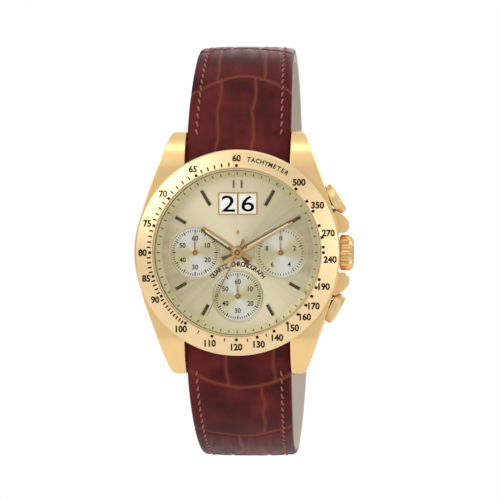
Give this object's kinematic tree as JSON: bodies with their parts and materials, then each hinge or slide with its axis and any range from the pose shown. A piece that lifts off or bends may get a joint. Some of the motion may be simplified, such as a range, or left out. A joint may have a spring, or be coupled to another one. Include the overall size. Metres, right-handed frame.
{
  "type": "chronograph wristwatch",
  "caption": "Gold-coloured wristwatch with counters, a big date, a tachymeter bezel, a crown, push buttons and an open padded leather strap with a pin buckle.",
  "frame": {"origin": "centre of the case back's outer flat face, on the axis of the hands", "axes": "+Z to 12 o'clock, +X to 3 o'clock and the crown, +Y out of the case back towards the wrist, so the dial faces -Y"},
  "size_m": [0.0414, 0.0879, 0.0813],
  "materials": {
    "case_gold": "satin gold-coloured plating on steel",
    "bezel_gold": "finely brushed gold-coloured plating",
    "crown_gold": "polished gold-coloured plating",
    "flange_gold": "matt gold",
    "crystal_glass": "clear, flat mineral glass",
    "gasket_nylon": "natural nylon",
    "gasket_rubber": "matt",
    "back_steel": "brushed stainless steel",
    "steel": "plain steel",
    "dial_champagne": "champagne sunray",
    "index_gold": "polished gold",
    "hand_gold": "polished gold",
    "movement_brass": "satin brass",
    "board_plastic": "green solder mask",
    "coil_copper": "enamelled copper wire",
    "date_white": "white enamel",
    "strap_leather": "brown-red, crocodile-embossed, padded",
    "buckle_gold": "polished gold-coloured plating"
  },
  "bodies": {
    "case": {"case_middle": "case_gold", "bezel": "bezel_gold", "crystal": "crystal_glass", "crystal_gasket": "gasket_nylon", "flange_ring": "flange_gold", "case_back": "back_steel", "case_back_gasket": "gasket_rubber", "case_back_screw_1": "steel", "case_back_screw_2": "steel", "case_back_screw_3": "steel", "case_back_screw_4": "steel", "dial": "dial_champagne", "date_window_frame": "index_gold", "index_12_left": "index_gold", "index_12_right": "index_gold", "index_01": "index_gold", "index_02": "index_gold", "index_04": "index_gold", "index_05": "index_gold", "index_07": "index_gold", "index_08": "index_gold", "index_10": "index_gold", "index_11": "index_gold", "movement_holder": "gasket_nylon", "main_plate": "movement_brass", "circuit_board": "board_plastic", "battery": "steel", "battery_clamp": "steel", "motor_coil": "coil_copper", "crown_tube": "case_gold", "upper_pusher_tube": "case_gold", "lower_pusher_tube": "case_gold", "upper_pusher_spring": "steel", "lower_pusher_spring": "steel", "spring_bar_upper": "steel", "spring_bar_lower": "steel"},
    "minute_hand_and_pinion": {"minute_hand": "hand_gold", "cannon_pinion": "movement_brass"},
    "hour_hand_and_wheel": {"hour_hand": "hand_gold", "hour_wheel": "movement_brass"},
    "minute_wheel": {"minute_wheel": "movement_brass"},
    "chrono_seconds": {"chrono_seconds_hand": "hand_gold"},
    "small_seconds": {"small_seconds_hand": "hand_gold"},
    "minute_counter": {"minute_counter_hand": "hand_gold"},
    "tenths_counter": {"tenths_counter_hand": "hand_gold"},
    "date_tens": {"date_tens_disc": "date_white"},
    "date_units": {"date_units_disc": "date_white"},
    "clutch_wheel": {"clutch_wheel": "steel"},
    "crown_and_stem": {"crown": "crown_gold", "stem": "steel"},
    "upper_pusher": {"upper_pusher": "crown_gold"},
    "lower_pusher": {"lower_pusher": "crown_gold"},
    "strap_upper": {"strap_upper": "strap_leather", "fixed_keeper": "strap_leather"},
    "free_keeper": {"free_keeper": "strap_leather"},
    "buckle": {"buckle_frame": "buckle_gold", "buckle_pin": "steel"},
    "buckle_tongue": {"buckle_tongue": "buckle_gold"},
    "strap_lower": {"strap_lower": "strap_leather"}
  },
  "joints": [
    {"name": "minute_hand_turn", "type": "hinge", "parent": "case", "child": "minute_hand_and_pinion", "pos_m": [0, -0.006, 0], "axis": [0, 1, 0], "continuous": true},
    {"name": "hour_hand_turn", "type": "hinge", "parent": "case", "child": "hour_hand_and_wheel", "pos_m": [0, -0.006, 0], "axis": [0, 1, 0], "continuous": true},
    {"name": "minute_wheel_turn", "type": "hinge", "parent": "case", "child": "minute_wheel", "pos_m": [0.00255, -0.0052, -0.00255], "axis": [0, 1, 0], "continuous": true},
    {"name": "chrono_seconds_turn", "type": "hinge", "parent": "case", "child": "chrono_seconds", "pos_m": [0, -0.006, 0], "axis": [0, 1, 0], "continuous": true},
    {"name": "small_seconds_turn", "type": "hinge", "parent": "case", "child": "small_seconds", "pos_m": [0, -0.006, -0.00825], "axis": [0, 1, 0], "continuous": true},
    {"name": "minute_counter_turn", "type": "hinge", "parent": "case", "child": "minute_counter", "pos_m": [-0.00815, -0.006, 0], "axis": [0, 1, 0], "continuous": true},
    {"name": "tenths_counter_turn", "type": "hinge", "parent": "case", "child": "tenths_counter", "pos_m": [0.00815, -0.006, 0], "axis": [0, 1, 0], "continuous": true},
    {"name": "date_tens_turn", "type": "hinge", "parent": "case", "child": "date_tens", "pos_m": [-0.0042, -0.006, 0.0093], "axis": [0, 1, 0], "continuous": true},
    {"name": "date_units_turn", "type": "hinge", "parent": "case", "child": "date_units", "pos_m": [0.004, -0.0057, 0.0069], "axis": [0, 1, 0], "continuous": true},
    {"name": "crown_turn", "type": "hinge", "parent": "case", "child": "clutch_wheel", "pos_m": [0.0104, -0.0039, 0], "axis": [1, 0, 0], "continuous": true},
    {"name": "crown_pull", "type": "slide", "parent": "clutch_wheel", "child": "crown_and_stem", "axis": [1, 0, 0], "range_m": [0, 0.0012]},
    {"name": "upper_pusher_press", "type": "slide", "parent": "case", "child": "upper_pusher", "axis": [-0.8746, 0, -0.4848], "range_m": [0, 0.0008], "stiffness_N_per_m": 600, "springref_m": -0.0006, "deforming": ["upper_pusher_spring"]},
    {"name": "lower_pusher_press", "type": "slide", "parent": "case", "child": "lower_pusher", "axis": [-0.866, 0, 0.5], "range_m": [0, 0.0008], "stiffness_N_per_m": 600, "springref_m": -0.0006, "deforming": ["lower_pusher_spring"]},
    {"name": "strap_upper_swing", "type": "hinge", "parent": "case", "child": "strap_upper", "pos_m": [0, -0.0032, 0.0208], "axis": [1, 0, 0], "range_deg": [-15, 45]},
    {"name": "free_keeper_slide", "type": "slide", "parent": "strap_upper", "child": "free_keeper", "axis": [0, 0.2824, -0.9593], "range_m": [-0.0015, 0.0015]},
    {"name": "buckle_swing", "type": "hinge", "parent": "strap_upper", "child": "buckle", "pos_m": [0, 0.05034, 0.0077], "axis": [1, 0, 0], "range_deg": [-20, 20]},
    {"name": "buckle_tongue_swing", "type": "hinge", "parent": "buckle", "child": "buckle_tongue", "pos_m": [0, 0.05034, 0.0077], "axis": [1, 0, 0], "range_deg": [0, 80]},
    {"name": "strap_lower_swing", "type": "hinge", "parent": "case", "child": "strap_lower", "pos_m": [0, -0.0032, -0.0208], "axis": [1, 0, 0], "range_deg": [-45, 10]}
  ],
  "couplings": [
    {"joint": "hour_hand_turn", "follows": "minute_hand_turn", "ratio": 0.083333},
    {"joint": "minute_wheel_turn", "follows": "minute_hand_turn", "ratio": -0.33333}
  ]
}
